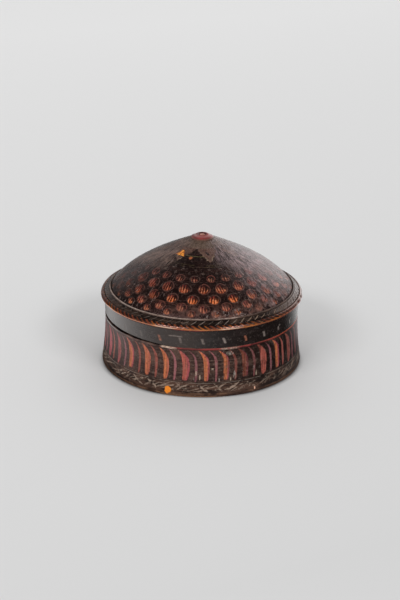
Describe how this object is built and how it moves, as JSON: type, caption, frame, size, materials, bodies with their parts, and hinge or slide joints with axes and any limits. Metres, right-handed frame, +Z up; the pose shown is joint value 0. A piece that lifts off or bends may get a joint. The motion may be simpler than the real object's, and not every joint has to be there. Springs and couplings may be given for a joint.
{
  "type": "round lacquered box with conical lid",
  "caption": "Low round lacquered box with a waisted wall, an inner neck and a conical lift-off lid with a moulded flange, a plain skirt and a pegged tip button.",
  "frame": {"origin": "on the axis of the box, on the plane that its foot stands on", "axes": "+Z up along the axis of the turned body, from the foot to the tip of the lid; X and Y are level"},
  "size_m": [0.1596, 0.1596, 0.1035],
  "materials": {
    "scale_lacquer": "gloss lacquer, black over red, cut with rows of scales",
    "stripe_lacquer": "gloss lacquer, black and orange red crescents",
    "black_lacquer": "gloss black lacquer",
    "border_lacquer": "worn lacquer with leaf and scroll borders",
    "edge_lacquer": "orange lacquer with a black hatched edge",
    "red_lacquer": "red lacquer",
    "lining_lacquer": "satin red lacquer lining",
    "peg_wood": "dark turned wood"
  },
  "bodies": {
    "box_body": {"foot_ring": "border_lacquer", "floor_disc": "lining_lacquer", "foot_band": "border_lacquer", "body_wall": "stripe_lacquer", "rim_hoop": "red_lacquer", "neck_liner": "lining_lacquer"},
    "lid": {"lid_skirt": "black_lacquer", "lid_flange": "border_lacquer", "lid_edge_hoop": "edge_lacquer", "lid_crown": "scale_lacquer", "crown_bead": "border_lacquer", "tip_button": "red_lacquer", "tip_peg": "peg_wood"}
  },
  "joints": [
    {"name": "lid_lift", "type": "slide", "parent": "box_body", "child": "lid", "axis": [0, 0, 1], "range_m": [0, 0.09]}
  ]
}
